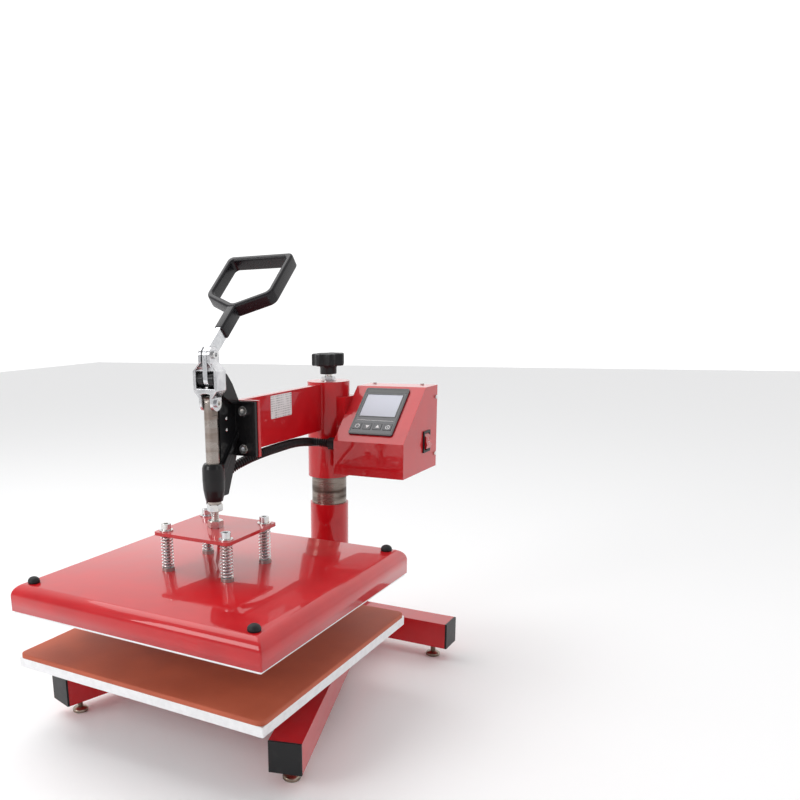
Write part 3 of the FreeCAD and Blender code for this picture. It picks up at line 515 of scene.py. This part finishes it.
low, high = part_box("height_lock_nut")
nut("chamfered_lock_nut", "height_lock_nut", "arm_head", 19, 0, COLUMN_Y, low[2] / MM, high[2] / MM)
low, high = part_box("plunger_nuts")
STUD_NUT_ACROSS, STUD_NUT_HEIGHT = 18.5, 9.5
nut("lower_stud_nut", "plunger_nuts", "plunger", STUD_NUT_ACROSS, 0, 0, low[2] / MM,
    low[2] / MM + STUD_NUT_HEIGHT)
nut("upper_stud_nut", "plunger_nuts", "plunger", STUD_NUT_ACROSS, 0, 0,
    high[2] / MM - STUD_NUT_HEIGHT, high[2] / MM)
low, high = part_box("plunger_stud")
stud = bmesh.new()
turned(stud, thread_profile(5, 1.5, low[2] / MM, high[2] / MM), 0, 0, 28)
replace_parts(add_piece(stud, "threaded_stud", "plunger", zinc), "plunger_stud")


# ---- Arm label ---------------------------------------------------------------------------
# A foil sticker on the right face of the arm, with plain ruled lines where a rating plate
# has its words.
sticker_paper, surface, place = new_finish("sticker_paper", coat=0.4)
line_phase = place.axis("Z") * 300
words = place.stretched(1, 1, 0.1).noise(420, 1) > 0.5
rows = line_phase.maths("FRACT", line_phase) > 0.6
(rows * words * 0.7).colours((0.80, 0.79, 0.78, 1), (0.14, 0.14, 0.15, 1)).into(surface, "Base Color")
(0.35 + place.noise(80, 3) * 0.1).into(surface, "Roughness")
ARM_HALF, FOIL = 5, 0.2
label = bmesh.new()
bmesh.ops.create_cube(label, size=1.0)
bmesh.ops.scale(label, vec=(FOIL * MM, 58 * MM, 33 * MM), verts=label.verts)
bmesh.ops.translate(label, vec=at(ARM_HALF + FOIL / 2, 166, 408), verts=label.verts)
corners = [edge for edge in label.edges if abs(edge.verts[0].co.x - edge.verts[1].co.x) > 0.1 * MM]
round_edges(label, corners, 1.5, 4)
add_piece(label, "arm_label", "arm_head", sticker_paper)


# ---- Toggle casting ----------------------------------------------------------------------
# Grey-iron casting that guides the plunger and carries the lever pivot.  It is dipped in
# semi-gloss black paint over the sandy cast skin, and bolted to the end of the arm.
cast_black, surface, place = new_finish("cast_black", coat=0.3)
surface.inputs["Specular IOR Level"].default_value = 0.2
skin = place.noise(420, 4)
rubbed = place.noise(60, 6).between(0.62, 0.78)
rubbed.colours((0.005, 0.005, 0.006, 1), (0.028, 0.026, 0.025, 1)).into(surface, "Base Color")
(0.3 + skin * 0.16).into(surface, "Roughness")
place.rough_edge(skin + place.noise(60, 2), 0.4, 0.0005, 0.0016).into(surface, "Normal")
give(cast_black, "toggle_casting")

for side in (-1, 1):
    for z in (391.5, 406.5):
        rivet = bmesh.new()
        head = bmesh.ops.create_uvsphere(rivet, u_segments=24, v_segments=12,
                                         radius=2.6 * MM)["verts"]
        bmesh.ops.scale(rivet, vec=(0.6, 1, 1), verts=head)
        bmesh.ops.translate(rivet, vec=at(side * 5.0, 27, z), verts=head)
        name = "casting_rivet_%s_%d" % ("left" if side < 0 else "right", z)
        add_piece(rivet, name, "arm_head", zinc, 80)


# ---- Lever plates, yoke and plunger ------------------------------------------------------
# The lever is two strips of plated steel side by side; the link yoke is a polished cast
# aluminium fork; the plunger is a centreless-ground steel bar.
lever_steel, surface, place = new_finish("lever_steel", metallic=1.0)
grain = place.stretched(8, 1, 1).noise(300, 3)
grain.between(0.3, 0.7).colours((0.56, 0.57, 0.59, 1), (0.68, 0.69, 0.70, 1)).into(surface, "Base Color")
(0.16 + grain * 0.16).into(surface, "Roughness")
place.rough_edge(grain, 0.12, 0.0001, 0.0007).into(surface, "Normal")
give(lever_steel, "lever_plates")

yoke_alloy, surface, place = new_finish("yoke_alloy", metallic=1.0)
swirl = place.noise(130, 5)
swirl.between(0.3, 0.7).colours((0.62, 0.62, 0.64, 1), (0.74, 0.74, 0.75, 1)).into(surface, "Base Color")
(0.12 + swirl * 0.16).into(surface, "Roughness")
place.rough_edge(place.noise(90, 2), 0.3, 0.0005, 0.0018).into(surface, "Normal")
give(yoke_alloy, "link_yoke")
give(bare_steel_finish("ground_bar", (0.38, 0.34, 0.31, 1), (0.26, 0.21, 0.18, 1), 3), "plunger_rod")


# ---- Handle grip -------------------------------------------------------------------------
# Flat steel strap bent and welded into a five-sided loop on a short stem, then dipped in
# black vinyl, which thickens in the corners and gathers in a lip at the foot of the stem.
grip_vinyl = plastic_finish("grip_vinyl", (0.010, 0.009, 0.011, 1), (0.018, 0.016, 0.018, 1), 0.2, 40)
LINK_PIN_Z = 490.5
lean = math.radians(49)
ALONG = Vector((0, math.sin(lean), math.cos(lean)))
ACROSS = Vector((0, -math.cos(lean), math.sin(lean)))
FORK, SHOULDER, GRIP_END, GRIP_HALF, STRAP_HALF, STRAP_WIDE = 80, 104, 176, 48, 4, 10
rise = math.atan2(SHOULDER - FORK, GRIP_HALF)


def on_handle(x, along, across):
    return at(x, 0, LINK_PIN_Z) + (ALONG * along + ACROSS * across) * MM


grip = bmesh.new()
loops = []
for sign, corner in ((1, 8), (-1, 5)):
    half = GRIP_HALF + sign * STRAP_HALF
    shoulder = SHOULDER - sign * STRAP_HALF * math.tan((math.pi / 2 - rise) / 2)
    fork = FORK - sign * STRAP_HALF / math.cos(rise)
    end = GRIP_END + sign * STRAP_HALF
    outline = [(0, fork), (half, shoulder), (half, end), (-half, end), (-half, shoulder)]
    verts = [grip.verts.new(on_handle(x, along, -STRAP_WIDE)) for x, along in outline]
    grip.faces.new(verts)
    round_edges(grip, verts, corner, 6, affect="VERTICES")
    loops += [edge for edge in grip.edges if edge not in loops]
bmesh.ops.delete(grip, geom=list(grip.faces), context="FACES_ONLY")
bmesh.ops.bridge_loops(grip, edges=loops)
thicken(grip, ACROSS * (2 * STRAP_WIDE * MM))
bmesh.ops.recalc_face_normals(grip, faces=grip.faces)
rims = [edge for edge in grip.edges if edge.calc_face_angle() > 1.2]
round_edges(grip, rims, 3.2, 5)
loop = add_piece(grip, "grip_loop", "handle", grip_vinyl, 60)
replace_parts(loop, "handle_grip")

stem = bmesh.new()
STEM_START, STEM_END, STEM_THICK = 38.4, 80, 13.6
bmesh.ops.create_cube(stem, size=1.0)
stem_size = (STEM_THICK * MM, 2 * STRAP_WIDE * MM, (STEM_END - STEM_START) * MM)
bmesh.ops.scale(stem, vec=stem_size, verts=stem.verts)
round_edges(stem, list(stem.edges), 3, 5)
stem_middle = Matrix.Translation(on_handle(0, (STEM_START + STEM_END) / 2, 0))
bmesh.ops.transform(stem, matrix=stem_middle @ Matrix.Rotation(-lean, 4, "X"), verts=stem.verts)
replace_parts(add_piece(stem, "grip_stem", "handle", grip_vinyl, 60), "handle_grip")


# ---- Heated head: cover, springs and domes -----------------------------------------------
# The cover is 1.5 mm sheet folded down on four sides, its corners welded and ground round.
# The cast heater below it hangs on four long bolts with coil springs.
cover_low, cover_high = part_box("upper_cover")
COVER_HALF = 192.5
SKIRT_TOP = 194.5
BEND_R = 16.5
BEND_ANGLE = math.radians(76)
cover = bmesh.new()
corner_reach = COVER_HALF * math.sqrt(2) * MM
square_ring = bmesh.ops.create_circle(cover, segments=4, radius=corner_reach)["verts"]
eighth_turn = Matrix.Rotation(math.pi / 4, 3, "Z")
bmesh.ops.rotate(cover, cent=(0, 0, 0), matrix=eighth_turn, verts=square_ring)
bmesh.ops.translate(cover, vec=at(0, 0, cover_low[2] / MM), verts=square_ring)
edges = list(cover.edges)
levels = [(COVER_HALF, SKIRT_TOP)]
BEND_STEPS = 12
for k in range(1, BEND_STEPS + 1):
    angle = BEND_ANGLE * k / BEND_STEPS
    levels.append((COVER_HALF - BEND_R + BEND_R * math.cos(angle),
                   SKIRT_TOP + BEND_R * math.sin(angle)))
half, height = COVER_HALF, cover_low[2] / MM
for next_half, next_height in levels:
    made = bmesh.ops.extrude_edge_only(cover, edges=edges)["geom"]
    ring = points_of(made)
    edges = [item for item in made if isinstance(item, bmesh.types.BMEdge)
             and all(vert in ring for vert in item.verts)]
    shrink = Matrix.Scale(next_half / half, 4)
    shrink[2][2] = 1.0
    here = Matrix.Translation(at(0, 0, height))
    move = Matrix.Translation(at(0, 0, next_height)) @ shrink @ here.inverted()
    bmesh.ops.transform(cover, matrix=move, verts=ring)
    half, height = next_half, next_height
bmesh.ops.contextual_create(cover, geom=edges)
mitre = [edge for edge in cover.edges
         if abs(edge.verts[0].co.z - edge.verts[1].co.z) > 0.01 * MM]
round_edges(cover, mitre, 2.2, 4)
lid = add_piece(cover, "folded_cover", "heated_head", enamel, 30)
wall = lid.modifiers.new("sheet", "SOLIDIFY")
wall.thickness = 1.5 * MM
wall.offset = -1
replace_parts(lid, "upper_cover")

wool, surface, place = new_finish("mineral_wool")
fibre = place.noise(700, 6)
fibre.colours((0.60, 0.55, 0.44, 1), (0.82, 0.78, 0.68, 1)).into(surface, "Base Color")
place.rough_edge(fibre, 0.6, 0.0006, 0.002).into(surface, "Normal")
give(wool, "insulation_blanket")

ring_steel = plated_finish("ring_steel", (0.42, 0.41, 0.40, 1), (0.55, 0.53, 0.50, 1), 0.3)
give(ring_steel, "spring_collars")
spring_wire = plated_finish("spring_wire", (0.70, 0.70, 0.71, 1), (0.80, 0.79, 0.77, 1), 0.12)
rubber = plastic_finish("moulded_rubber", (0.012, 0.012, 0.013, 1), (0.028, 0.027, 0.027, 1), 0.42, 900)

WIRE, COIL_R, STEPS, OPEN_TURNS = 1.0, 7.4, 28, 9.4
plate_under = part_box("spring_plate")[0][2]
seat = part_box("spring_collars")[1][2]
END_TURN, END_PITCH = 0.8, 2.1


def corner_name(x, y):
    return ("left" if x < 0 else "right") + ("_front" if y < 0 else "_rear")


for x, y in ((-48, -45), (48, -45), (-48, 45), (48, 45)):
    coil = bmesh.new()
    ring = bmesh.ops.create_circle(coil, segments=10, radius=WIRE * MM)["verts"]
    bmesh.ops.rotate(coil, cent=(0, 0, 0), matrix=Matrix.Rotation(math.pi / 2, 3, "X"), verts=ring)
    bmesh.ops.translate(coil, vec=at(x + COIL_R, y, seat / MM + WIRE), verts=ring)
    tip = list(coil.edges) + ring
    start_rim = list(coil.edges)
    closed = END_TURN * END_PITCH * WIRE * MM
    climb = plate_under - seat - 2 * WIRE * MM - 2 * closed
    for turns, rising in ((END_TURN, closed), (OPEN_TURNS, climb), (END_TURN, closed)):
        steps = round(turns * STEPS)
        tip = bmesh.ops.spin(coil, geom=tip, cent=at(x, y, 0), axis=(0, 0, 1),
                             dvec=(0, 0, rising / steps), angle=turns * 2 * math.pi, steps=steps,
                             use_merge=False, use_duplicate=False)["geom_last"]
    for rim in (start_rim, [item for item in tip if isinstance(item, bmesh.types.BMEdge)]):
        bmesh.ops.contextual_create(coil, geom=rim)
    side = corner_name(x, y)
    spring = add_piece(coil, "spring_" + side, "plunger", spring_wire, 70)
    at(x, y, plate_under / MM)
    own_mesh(spring)
    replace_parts(spring, "head_springs")

cover_top = cover_high[2] / MM
for x, y in ((-170, -170), (170, -170), (-170, 170), (170, 170)):
    dome = bmesh.new()
    curve = [(7.8 * math.cos(math.radians(a)), cover_top + 2.4 + 6.1 * math.sin(math.radians(a)))
             for a in range(0, 91, 10)]
    turned(dome, [(0, cover_top), (7.2, cover_top), (7.8, cover_top + 0.8)] + curve, x, y)
    side = corner_name(x, y)
    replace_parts(add_piece(dome, "dome_" + side, "heated_head", rubber), "cover_domes")


# ---- Temperature controller --------------------------------------------------------------
# A panel-mounted controller: dark grey film over a moulded case, a grey liquid-crystal
# window that is switched off, and four push keys printed with plain symbols.
def film_finish(name, colour, speckled, roughness):
    material, surface, place = new_finish(name, coat=0.6)
    speck = place.noise(1400, 2)
    speck.between(0.4, 0.7).colours(colour, speckled).into(surface, "Base Color")
    (roughness + speck * 0.08).into(surface, "Roughness")
    place.rough_edge(speck, 0.1, 0.00005, 0.0004).into(surface, "Normal")
    return material


film = film_finish("panel_film", (0.035, 0.036, 0.042, 1), (0.055, 0.056, 0.064, 1), 0.22)
give(film, "controller_bezel", "button_1", "button_2", "button_3", "button_4")
display, surface, place = new_finish("display_glass", coat=1.0)
# Painted sheen: the window's grey is made lighter towards its top edge, standing in for light on the glass.
painted_sheen = place.axis("Z").between(0.365, 0.405)
painted_sheen.colours((0.36, 0.38, 0.44, 1), (0.50, 0.52, 0.60, 1)).into(surface, "Base Color")
(0.12 + place.noise(200, 2) * 0.05).into(surface, "Roughness")
give(display, "controller_window")
print_white = film_finish("white_print", (0.72, 0.72, 0.72, 1), (0.80, 0.80, 0.80, 1), 0.4)
black_line = film_finish("black_line", (0.004, 0.004, 0.005, 1), (0.009, 0.009, 0.010, 1), 0.2)

SLOPE_FOOT = Vector((0, 260, 345))
slope_length = math.hypot(83, 76)
UP = Vector((0, 83, 76)) / slope_length
OUT = Vector((0, -76, 83)) / slope_length
PANEL_PROUD = 3.0


def on_slope(x, s, out):
    place = SLOPE_FOOT + UP * s + OUT * out
    return at(x, place.y, place.z)


slope_turn = Matrix((Vector((1, 0, 0)), UP, OUT)).transposed().to_4x4()


PRINT_THICK, SUNK = 0.15, 0.05


def open_middle(mesh, width):
    """A flat face is turned into a frame of this width."""
    middle = list(mesh.faces)
    bmesh.ops.inset_region(mesh, faces=middle, thickness=width * MM, use_even_offset=True,
                           use_boundary=True)
    bmesh.ops.delete(mesh, geom=middle, context="FACES")


def printed_frame(name, body, material, x, s, out, size, thick, width=0.0, corner=0.0):
    """Thin plate on the slope, or a frame of the given width when width is not nought."""
    mesh = bmesh.new()
    bmesh.ops.create_grid(mesh, x_segments=1, y_segments=1, size=0.5)
    bmesh.ops.scale(mesh, vec=(size[0] * MM, size[1] * MM, 1), verts=mesh.verts)
    if corner:
        round_edges(mesh, list(mesh.verts), corner, 4, affect="VERTICES")
    if width:
        open_middle(mesh, width)
    thicken(mesh, (0, 0, thick * MM))
    stand = Matrix.Translation(on_slope(x, s, out)) @ slope_turn
    bmesh.ops.transform(mesh, matrix=stand, verts=mesh.verts)
    return add_piece(mesh, name, body, material, 30)


PANEL_MID = 96
PRINT_AT = PANEL_PROUD - SUNK
printed_frame("panel_border", "arm_head", black_line, PANEL_MID, 60, PRINT_AT,
              (70, 90), 0.25, width=1.6, corner=3)
printed_frame("window_border", "arm_head", black_line, PANEL_MID, 71, PRINT_AT,
              (61.4, 46.4), 0.35, width=1.4, corner=1.5)
printed_frame("panel_band", "arm_head", black_line, PANEL_MID, 99.5, PRINT_AT,
              (66, 7), 0.2)
printed_frame("panel_line", "arm_head", print_white, PANEL_MID, 41, PRINT_AT,
              (60, 0.5), PRINT_THICK)
BUTTON_S, BUTTON_PITCH, KEY_TOP = 29, 16.6, 3.4


def key_symbol(k, corners, radius, start):
    """A ring for the end keys, and a triangle that points down or up for the others."""
    mesh = bmesh.new()
    bmesh.ops.create_circle(mesh, segments=corners, radius=radius * MM, cap_ends=True)
    facing = Matrix.Rotation(math.radians(start), 3, "Z")
    bmesh.ops.rotate(mesh, cent=(0, 0, 0), matrix=facing, verts=mesh.verts)
    if corners > 3:
        open_middle(mesh, 0.8)
    thicken(mesh, (0, 0, PRINT_THICK * MM))
    x = PANEL_MID + (k - 2.5) * BUTTON_PITCH
    stand = Matrix.Translation(on_slope(x, BUTTON_S, KEY_TOP - SUNK)) @ slope_turn
    bmesh.ops.transform(mesh, matrix=stand, verts=mesh.verts)
    add_piece(mesh, "key_symbol_%d" % k, "button_%d" % k, print_white, 30)


key_symbol(1, 32, 3.6, 0)
key_symbol(2, 3, 3.6, 180)
key_symbol(3, 3, 3.6, 0)
key_symbol(4, 32, 3.6, 0)
printed_frame("key_bar", "button_4", print_white, PANEL_MID + 1.5 * BUTTON_PITCH,
              BUTTON_S, KEY_TOP - SUNK, (0.8, 3.4), PRINT_THICK)


# ---- Rocker switch -----------------------------------------------------------------------
# A red snap-in mains rocker in a black frame, marked with the usual bar and ring.
red_gloss = film_finish("red_gloss", (0.50, 0.006, 0.010, 1), (0.56, 0.009, 0.013, 1), 0.18)
give(red_gloss, "rocker_key")
ROCKER_Y, ROCKER_Z, KEY_HALF_Z = 347, 338, 11.8
PIVOT_X = 151.5
key_turn = Matrix.Rotation(math.radians(-10), 4, "Y")
key_pivot = at(PIVOT_X, ROCKER_Y, ROCKER_Z)


def rocker_mark(name, low, high, corners, size):
    """A mark on one half of the key, whose face runs from low to high (x, z)."""
    mesh = bmesh.new()
    bmesh.ops.create_circle(mesh, segments=corners, radius=MM, cap_ends=True)
    if corners > 4:
        open_middle(mesh, 0.32)
    else:
        bmesh.ops.rotate(mesh, cent=(0, 0, 0), matrix=eighth_turn, verts=mesh.verts)
    bmesh.ops.scale(mesh, vec=(size[0], size[1], 1), verts=mesh.verts)
    thicken(mesh, (0, 0, PRINT_THICK * MM))
    up_face = Vector((high[0] - low[0], 0, high[1] - low[1])).normalized()
    level = Vector((0, 1, 0))
    facing = level.cross(up_face)
    stand = Matrix((level, up_face, facing)).transposed().to_4x4()
    middle = Vector((low[0] + high[0], 0, low[1] + high[1])) / 2 * MM
    place = Matrix.Translation(key_pivot) @ key_turn @ Matrix.Translation(middle) @ stand
    bmesh.ops.transform(mesh, matrix=place, verts=mesh.verts)
    add_piece(mesh, name, "rocker", print_white, 30)


crest = 5.0 + 3.5
saddle = 4.2 + 3.5
rocker_mark("rocker_bar", (saddle, 0), (crest, KEY_HALF_Z / 2), 4, (0.5, 2.6))
rocker_mark("rocker_ring", (crest, -KEY_HALF_Z / 2), (saddle, 0), 32, (1.9, 2.2))


# ---- Conduit from the box to the toggle --------------------------------------------------
# Corrugated black polyamide conduit, about 0.26 m long, held in the gland at the box and
# behind the casting.  The leads of the heater and of its sensor run in it.
def route_line(name, route):
    """Points along the smooth line that has these control points, in millimetres."""
    curve = bpy.data.curves.new(name, "CURVE")
    curve.dimensions = "3D"
    curve.resolution_u = 24
    spline = curve.splines.new("NURBS")
    spline.points.add(len(route) - 1)
    for point, place in zip(spline.points, route):
        point.co = (*at(*place), 1)
    spline.order_u = 3
    spline.use_endpoint_u = True
    carrier = bpy.data.objects.new(name, curve)
    bpy.context.collection.objects.link(carrier)
    line = bpy.data.meshes.new_from_object(carrier)
    points = [vert.co.copy() for vert in line.vertices]
    bpy.data.objects.remove(carrier)
    return points


conduit_route = [(34, 272, 338), (16, 271.5, 338.8), (2, 259, 341), (-2, 240, 343.5), (0, 205, 347),
                 (3, 160, 347.5), (2, 118, 346.5), (-6, 86, 341), (-19, 62, 330), (-30, 46, 314)]
conduit_line = even_points(route_line("conduit_line", conduit_route), 0.95 * MM)
conduit = bmesh.new()
CREST, GROOVE = 6.8, 5.2
shape = (CREST, CREST, GROOVE, GROOVE)
swept(conduit, conduit_line, [shape[k % 4] * MM for k in range(len(conduit_line))], 24)
conduit_black = plastic_finish("conduit_black", (0.011, 0.011, 0.012, 1), (0.024, 0.024, 0.026, 1),
                               0.22, 600)
hose = add_piece(conduit, "corrugated_conduit", "arm_head", conduit_black, 50)
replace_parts(hose, "hose")
conduit_length = sum((b - a).length for a, b in zip(conduit_line, conduit_line[1:]))


# ---- Lead to the head --------------------------------------------------------------------
# The leads leave the end of the conduit in one glass-fibre sleeve and drop slackly through
# the cover to the heater.
sleeving, surface, place = new_finish("sleeving")
braid = place.stretched(1, 1, 0.6).noise(1500, 3)
threads = braid.between(0.4, 0.62)
threads.colours((0.012, 0.012, 0.013, 1), (0.055, 0.052, 0.050, 1)).into(surface, "Base Color")
place.rough_edge(braid, 0.5, 0.0003, 0.0004).into(surface, "Normal")
lead_route = [(-28.5, 48.2, 316), (-34, 42, 304), (-43, 43, 291), (-51, 54, 279), (-57, 68, 264),
              (-58, 79, 246), (-56, 83, 226), (-56, 83, 205)]
lead_line = even_points(route_line("lead_line", lead_route), 1.2 * MM)
lead_mesh = bmesh.new()
LEAD_R = 2.6
swept(lead_mesh, lead_line, [LEAD_R * MM] * len(lead_line), 16)
lead = add_piece(lead_mesh, "head_sleeving", None, sleeving, 60)
at(-56, 83, 316)
at(-56, 83, 205)
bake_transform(lead)
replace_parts(lead, "head_lead")
lead_length = sum((b - a).length for a, b in zip(lead_line, lead_line[1:]))
